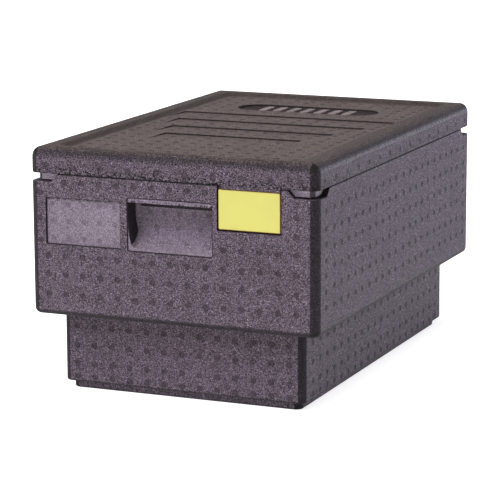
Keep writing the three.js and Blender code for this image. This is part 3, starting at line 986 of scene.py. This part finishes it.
def top_recess():
    """The lid's sunken top, with a rim that sweeps down to it in a soft double curve."""
    half_x = HALF_WIDTH - RIM_WIDTH_X
    half_y = HALF_LENGTH - RIM_WIDTH_Y
    levels = []
    for step in range(RIM_STEPS + 1):
        share = step / RIM_STEPS
        rise = share * share * (3 - 2 * share)
        left = 1 - share
        levels.append((
            PANEL_Z + (TOP_Z + FLUSH_GAP - PANEL_Z) * rise,
            half_x - PANEL_SLOPE_X * left,
            half_y - PANEL_SLOPE_Y * left,
            max(RIM_CORNER_RADIUS - PANEL_SLOPE_X * left, PANEL_CORNER_RADIUS),
        ))
    levels.append((TOP_Z + OVERCUT, half_x, half_y, RIM_CORNER_RADIUS))
    return stack("top_recess", levels, foam_slots, PANEL)


def terrace(index):
    """A wedge, deepest along its rear edge, that runs out to nothing towards the front."""
    rear = TERRACE_FIRST_Y - index * TERRACE_PITCH
    half = TERRACE_FIRST_HALF_WIDTH - index * TERRACE_NARROWING
    slope = TERRACE_DEPTH / TERRACE_LENGTH
    front = rear - TERRACE_LENGTH - OVERCUT
    outline = [
        (rear - TERRACE_CHAMFER, PANEL_Z - TERRACE_DEPTH),
        (rear, PANEL_Z - TERRACE_DEPTH + TERRACE_CHAMFER),
        (rear, PANEL_Z - TERRACE_LIP_DROP),
        (rear + TERRACE_CHAMFER, PANEL_Z + TERRACE_LIP_RISE),
        (rear + TERRACE_CHAMFER, PANEL_Z + OVERCUT),
        (front, PANEL_Z + OVERCUT),
        (front, PANEL_Z + slope * OVERCUT),
    ]
    piece = prism("terrace", outline, -half, half, lambda u, v, along: (along, u, v), RECESS)
    # Its riser and ends take the edge foam: painted shade, partly smooth skin.
    paint(piece, EDGE, lambda face: abs(face.normal.z) < LEVEL_ENOUGH)
    return piece


# The badge's floor takes the edge foam: painted shade round the bars, partly smooth skin.
def badge_recess():
    return recess(
        "badge_recess", BADGE_HALF_WIDTH, BADGE_HALF_HEIGHT, BADGE_CORNER_RADIUS, BADGE_DEPTH,
        RECESS_MOUTH_ROUNDING, lambda u, v, depth: (u, BADGE_Y + v, PANEL_Z - depth), EDGE,
    )


def badge_bar(index):
    x = (index - (BAR_COUNT - 1) / 2) * BAR_PITCH
    floor = PANEL_Z - BADGE_DEPTH
    top = floor + BAR_HEIGHT
    profile = [(0, floor - BAR_ROOT)]
    profile += [(-drawn_in, top - fall) for fall, drawn_in in convex_turn(BAR_EDGE_ROUNDING)]
    return profiled(
        "badge_bar", BAR_HALF_WIDTH, BAR_HALF_LENGTH, BAR_CORNER_RADIUS, profile,
        lambda u, v, z: (x + u, BADGE_Y + v, z), foam_slots, BADGE,
    )


def make_lid():
    piece = lid_outside()
    key = lid_key()
    combine(piece, [tongue_and_plug(), turned_half(key), key], "UNION")
    combine(piece, [lid_underside(), top_recess()], "DIFFERENCE")
    combine(piece, [terrace(i) for i in range(TERRACE_COUNT)], "DIFFERENCE")
    combine(piece, [badge_recess()], "DIFFERENCE")
    combine(piece, [badge_bar(i) for i in range(BAR_COUNT)], "UNION")
    finish_surface(piece)
    return piece


# ---- Identification tag ----


def make_tag():
    front = tag_low.y
    back = front + TAG_THICKNESS
    half_width = (tag_high.x - tag_low.x) / 2
    half_height = (tag_high.z - tag_low.z) / 2
    centre_x = (tag_high.x + tag_low.x) / 2
    centre_z = (tag_high.z + tag_low.z) / 2
    edge = convex_turn(TAG_EDGE_ROUNDING)
    profile = [(-drawn_in, front + fall) for fall, drawn_in in reversed(edge)]
    profile += [(-drawn_in, back - fall) for fall, drawn_in in edge]
    piece = profiled(
        "id_tag_visual", half_width, half_height, TAG_CORNER_RADIUS, profile,
        lambda u, v, y: (centre_x + u, y, centre_z + v), [tag_skin],
    )
    studs = [
        rod("stud", centre_x + side * STUD_SPACING / 2, STUD_Z, [
            (back - STUD_ROOT, STUD_RADIUS),
            (tag_high.y - STUD_CHAMFER, STUD_RADIUS),
            (tag_high.y, STUD_RADIUS - STUD_CHAMFER),
        ])
        for side in (-1, 1)
    ]
    combine(piece, studs, "UNION")
    finish_surface(piece)
    return piece


# ---- Steam vent marks ----


def add_vent(mesh, centre, normal):
    """One round mark: a low rim round a darker dish, set a little way into the foam."""
    normal = Vector(normal).normalized()
    side = normal.orthogonal().normalized()
    other = normal.cross(side)
    dish = VENT_RADIUS * VENT_DISH_SHARE
    stations = [
        (-VENT_ROOT, VENT_RADIUS),
        (VENT_RIM_HEIGHT * VENT_OUTER_RISE, VENT_RADIUS),
        (VENT_RIM_HEIGHT, VENT_RADIUS - VENT_OUTER_SLOPE),
        (VENT_RIM_HEIGHT, dish + VENT_INNER_SLOPE),
        (VENT_DISH_HEIGHT, dish),
    ]
    rings = []
    for height, radius in stations:
        ring = []
        for i in range(VENT_SIDES):
            angle = 2 * math.pi * i / VENT_SIDES
            out = radius * (math.cos(angle) * side + math.sin(angle) * other)
            ring.append(Vector(centre) + out + height * normal)
        rings.append(ring)
    layers = add_tube(mesh, rings)
    mesh.faces.new(list(reversed(layers[0])))
    mesh.faces.new(layers[-1]).material_index = 1


def vent_piece(name, marks, materials):
    mesh = bmesh.new()
    for centre, normal in marks:
        add_vent(mesh, centre, normal)
    piece = piece_from(mesh, name, materials)
    shade_smooth(piece)
    return piece


def row(count, pitch):
    """Positions of a centred row."""
    return [(i - (count - 1) / 2) * pitch for i in range(count)]


def clear_of(u, v, zones):
    """True where (u, v) is well outside every zone (low u, high u, low v, high v)."""
    return not any(
        low_u - VENT_MARGIN < u < high_u + VENT_MARGIN
        and low_v - VENT_MARGIN < v < high_v + VENT_MARGIN
        for low_u, high_u, low_v, high_v in zones
    )


# Places of the marks: rows are heights, or Y on the lid, and columns are X or Y along a wall.
VENT_PITCH = 25
END_ROWS = [280, 256, 232, 208.5, 183.5, 158.5, 133]
END_COLUMNS = [HANDLE_X + x for x in row(15, 24.7)]
BESIDE_LABEL_X = -185.5
BESIDE_LABEL_ROWS = [265, 232, 203]
SIDE_ROWS = [263, 238, 213.5, 188.5, 163, 138.5]
SIDE_COLUMNS = [
    side * (nearest + VENT_PITCH * i)
    for side in (-1, 1) for nearest in (15.5, 143) for i in range(5)
]
SIDE_EDGE_Y = 271.5
SIDE_EDGE_ROWS = [262, 239.5, 219.5, 199, 179.5, 159, 139]
LOWER_ROWS = [85, 60, 35, 17.5]
LOWER_END_COLUMNS = row(13, VENT_PITCH)
LOWER_SIDE_COLUMNS = row(20, 25.3)
LABEL_COLUMNS = row(5, 22.2)
LABEL_ROWS = row(3, 22.2)
POCKET_MARKS = [(1, row(5, 20.5)), (26, row(3, 30.5)), (57, [-39, -18, 17, 43])]
POCKET_SAG = 0.1  # by which the faceted pocket falls short of its true curve
SKIRT_Z = 300.5
SKIRT_END_COLUMNS = row(10, 39.2)
SKIRT_SIDE_COLUMNS = row(15, 39.4)
PANEL_COLUMNS = row(13, VENT_PITCH)
PANEL_ROWS = row(21, VENT_PITCH)

END_ZONES = [
    (HANDLE_X - HANDLE_HALF_WIDTH, HANDLE_X + HANDLE_HALF_WIDTH, HANDLE_BOTTOM_Z, HANDLE_TOP_Z),
    (LABEL_X - LABEL_HALF_WIDTH, LABEL_X + LABEL_HALF_WIDTH, LABEL_BOTTOM_Z, LABEL_TOP_Z),
    (TAG_POCKET_X - TAG_POCKET_HALF_WIDTH, TAG_POCKET_X + TAG_POCKET_HALF_WIDTH,
     TAG_POCKET_BOTTOM_Z, PARTING_Z),
    (-HALF_WIDTH, -HALF_WIDTH + NOTCH_REACH, SHELF_Z, PARTING_Z),
    (HALF_WIDTH - NOTCH_REACH, HALF_WIDTH, SHELF_Z, PARTING_Z),
]


def front_end_marks():
    lower_y = FRONT_Y + STEP_INSET
    facing = (0, -1, 0)
    marks = [
        ((x, FRONT_Y, z), facing)
        for x in END_COLUMNS for z in END_ROWS if clear_of(x, z, END_ZONES)
    ]
    marks += [((BESIDE_LABEL_X, FRONT_Y, z), facing) for z in BESIDE_LABEL_ROWS]
    marks += [((x, lower_y, z), facing) for x in LOWER_END_COLUMNS for z in LOWER_ROWS]
    return marks


def front_recess_marks():
    """Marks on the floor of the label recess, and down the back of the hand pocket."""
    facing = (0, -1, 0)
    label_z = (LABEL_BOTTOM_Z + LABEL_TOP_Z) / 2
    marks = [
        ((LABEL_X + x, FRONT_Y + LABEL_DEPTH, label_z + z), facing)
        for x in LABEL_COLUMNS for z in LABEL_ROWS
    ]
    rise = POCKET_MIDDLE_Z - POCKET_BOTTOM_Z
    for degrees, columns in POCKET_MARKS:
        angle = math.radians(degrees)
        y = FRONT_Y + POCKET_DEPTH * math.cos(angle) - POCKET_SAG
        z = POCKET_MIDDLE_Z - rise * math.sin(angle)
        outward = (0, -math.cos(angle) / POCKET_DEPTH, math.sin(angle) / rise)
        marks += [((HANDLE_X + x, y, z), outward) for x in columns]
    return marks


def right_side_marks():
    facing = (1, 0, 0)
    lower_x = HALF_WIDTH - STEP_INSET
    marks = [((HALF_WIDTH, y, z), facing) for y in SIDE_COLUMNS for z in SIDE_ROWS]
    marks += [
        ((HALF_WIDTH, side * SIDE_EDGE_Y, z), facing)
        for side in (-1, 1) for z in SIDE_EDGE_ROWS
    ]
    marks += [((lower_x, y, z), facing) for y in LOWER_SIDE_COLUMNS for z in LOWER_ROWS]
    return marks


def half_turned(marks):
    return [((-x, -y, z), (-nx, -ny, nz)) for (x, y, z), (nx, ny, nz) in marks]


def terrace_slope(x, y):
    """How far a terrace drops the panel at (x, y), its normal, and if its edge is too near."""
    slope = TERRACE_DEPTH / TERRACE_LENGTH
    drop = 0.0
    normal = (0, 0, 1)
    near_edge = False
    for index in range(TERRACE_COUNT):
        behind = TERRACE_FIRST_Y - index * TERRACE_PITCH - y
        half = TERRACE_FIRST_HALF_WIDTH - index * TERRACE_NARROWING
        if abs(x) > half + VENT_MARGIN or not -VENT_MARGIN < behind < TERRACE_LENGTH:
            continue
        if abs(x) > half - VENT_MARGIN or behind < VENT_MARGIN:
            near_edge = True
        drop = TERRACE_DEPTH - slope * behind
        normal = (0, slope, 1)
    return drop, normal, near_edge


def panel_marks():
    """Marks on the lid's sunken top, which follow the slope of each terrace."""
    badge = (
        -BADGE_HALF_WIDTH, BADGE_HALF_WIDTH,
        BADGE_Y - BADGE_HALF_HEIGHT, BADGE_Y + BADGE_HALF_HEIGHT,
    )
    marks = []
    for x in PANEL_COLUMNS:
        for y in PANEL_ROWS:
            drop, normal, near_edge = terrace_slope(x, y)
            if clear_of(x, y, [badge]) and not near_edge:
                marks.append(((x, y, PANEL_Z - drop), normal))
    return marks


def lid_marks():
    marks = [((x, FRONT_Y, SKIRT_Z), (0, -1, 0)) for x in SKIRT_END_COLUMNS]
    marks += [((HALF_WIDTH, y, SKIRT_Z), (1, 0, 0)) for y in SKIRT_SIDE_COLUMNS]
    return marks + half_turned(marks) + panel_marks()


# ---- Pieces ----

foam_slots[:] = [box_skin, box_recess, dark_edge]
box_piece = make_box()
foam_slots[:] = [lid_skin, lid_recess, lid_edge, tongue_skin, lid_panel, badge_skin]
lid_piece = make_lid()
tag_piece = make_tag()
box_marks = front_end_marks() + right_side_marks()
recess_marks = front_recess_marks()
box_vents = vent_piece("box_vent_marks", box_marks + half_turned(box_marks), [box_skin, vent_skin])
recess_vents = vent_piece(
    "recess_vent_marks", recess_marks + half_turned(recess_marks), [box_recess, recess_vent_skin]
)
lid_vents = vent_piece("lid_vent_marks", lid_marks(), [lid_skin, vent_skin])

for piece, body, slot in [
    (box_piece, "box", "box_foam"),
    (box_vents, "box", "box_foam"),
    (recess_vents, "box", "box_foam"),
    (lid_piece, "lid", "lid_foam"),
    (lid_vents, "lid", "lid_foam"),
    (tag_piece, "tag", "tag_plastic"),
]:
    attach(piece, body)
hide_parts("box_body")
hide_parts("lid")
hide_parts("id_tag")

# ---- Floor, light and camera ----

# Metres from here on.
FLOOR_HALF_SIZE = 30.0
FLOOR_DROP = 0.2 * MM
FLOOR_ALBEDO = 0.62
FLOOR_GLOW = 0.80
FLOOR_ROUGHNESS = 0.9
FLOOR_SPECULAR = 0.1
LIGHT_TARGET = Vector((0, 0, 0.16))
LIGHT_DISTANCE = 2.8
HORIZON_BAND = (0.12, 0.35)  # sines of the elevations between which the world's light fades
HORIZON_STRENGTH = 1.02
OVERHEAD_STRENGTH = 0.15
CAMERA_PLACE = (1.2690, -3.0168, 0.8072)
CAMERA_YAW = 23.119  # degrees, as are the two below
CAMERA_PITCH = 11.405
CAMERA_ROLL = -0.244
CAMERA_LENS = 174.05  # millimetres, as is the sensor's width
CAMERA_SENSOR = 36
CAMERA_REACH = 100


def make_floor():
    data = bpy.data.meshes.new("floor")
    corners = [
        (FLOOR_HALF_SIZE * x, FLOOR_HALF_SIZE * y, -FLOOR_DROP)
        for x, y in [(-1, -1), (1, -1), (1, 1), (-1, 1)]
    ]
    data.from_pydata(corners, [], [(0, 1, 2, 3)])
    material = Tree("floor_paper").finished({
        "Base Color": (FLOOR_ALBEDO, FLOOR_ALBEDO, FLOOR_ALBEDO, 1),
        "Roughness": FLOOR_ROUGHNESS,
        "Specular IOR Level": FLOOR_SPECULAR,
        "Emission Color": (1, 1, 1, 1),
        "Emission Strength": FLOOR_GLOW,
    })
    new_piece("floor", data, [material])


def direction(azimuth, elevation):
    """Unit vector towards a compass direction in degrees: 0 is in front of the front end."""
    a, e = math.radians(azimuth), math.radians(elevation)
    return Vector((math.sin(a) * math.cos(e), -math.cos(a) * math.cos(e), math.sin(e)))


def add_light(name, kind, azimuth, elevation, strength, colour):
    """Light that looks at the object's middle from a compass direction, in degrees."""
    data = bpy.data.lights.new(name, kind)
    data.energy = strength
    data.color = colour
    light = add_to_scene(name, data)
    away = direction(azimuth, elevation)
    light.location = LIGHT_TARGET + LIGHT_DISTANCE * away
    light.rotation_mode = "QUATERNION"
    light.rotation_quaternion = away.to_track_quat("Z", "Y")
    return data


def softbox(name, azimuth, elevation, width, height, power, colour):
    data = add_light(name, "AREA", azimuth, elevation, power, colour)
    data.shape = "RECTANGLE"
    data.size = width
    data.size_y = height


def wide_sun(name, azimuth, elevation, spread, strength, colour):
    """Very soft distant light, as wide as spread degrees across."""
    data = add_light(name, "SUN", azimuth, elevation, strength, colour)
    data.angle = math.radians(spread)


def make_world():
    """White light from below and round the horizon, dim overhead."""
    world = bpy.data.worlds.new("studio")
    bpy.context.scene.world = world
    world.use_nodes = True
    nodes, links = world.node_tree.nodes, world.node_tree.links
    looking = nodes.new("ShaderNodeTexCoord")
    split = nodes.new("ShaderNodeSeparateXYZ")
    fade = nodes.new("ShaderNodeMapRange")
    fade.interpolation_type = "SMOOTHSTEP"
    limits = [*HORIZON_BAND, HORIZON_STRENGTH, OVERHEAD_STRENGTH]
    for key, value in zip(["From Min", "From Max", "To Min", "To Max"], limits):
        fade.inputs[key].default_value = value
    links.new(looking.outputs["Generated"], split.inputs[0])
    links.new(split.outputs["Z"], fade.inputs["Value"])
    links.new(fade.outputs["Result"], nodes["Background"].inputs["Strength"])
    nodes["Background"].inputs["Color"].default_value = (1, 1, 1, 1)


def make_camera():
    data = bpy.data.cameras.new("camera")
    data.lens = CAMERA_LENS
    data.sensor_width = CAMERA_SENSOR
    data.clip_end = CAMERA_REACH
    camera = add_to_scene("camera", data)
    turn = Matrix.Rotation(math.radians(CAMERA_YAW), 4, "Z")
    tilt = Matrix.Rotation(math.radians(90 - CAMERA_PITCH), 4, "X")
    roll = Matrix.Rotation(math.radians(CAMERA_ROLL), 4, "Z")
    camera.matrix_world = Matrix.Translation(CAMERA_PLACE) @ turn @ tilt @ roll
    bpy.context.scene.camera = camera


make_floor()
make_world()
softbox(
    "front_left_softbox", azimuth=-30, elevation=50, width=2.0, height=2.0,
    power=56, colour=(0.98, 0.93, 1.0),
)
softbox(
    "rear_right_softbox", azimuth=143, elevation=10, width=2.0, height=1.2,
    power=22, colour=(0.58, 0.56, 1.0),
)
wide_sun(
    "overhead", azimuth=0, elevation=80, spread=40, strength=2.64, colour=(1.0, 0.97, 0.84)
)
wide_sun(
    "high_front_left", azimuth=-25, elevation=50, spread=30, strength=1.55,
    colour=(0.85, 0.83, 1.0),
)
make_camera()
bpy.context.scene.view_settings.view_transform = "Standard"

bpy.context.view_layer.update()
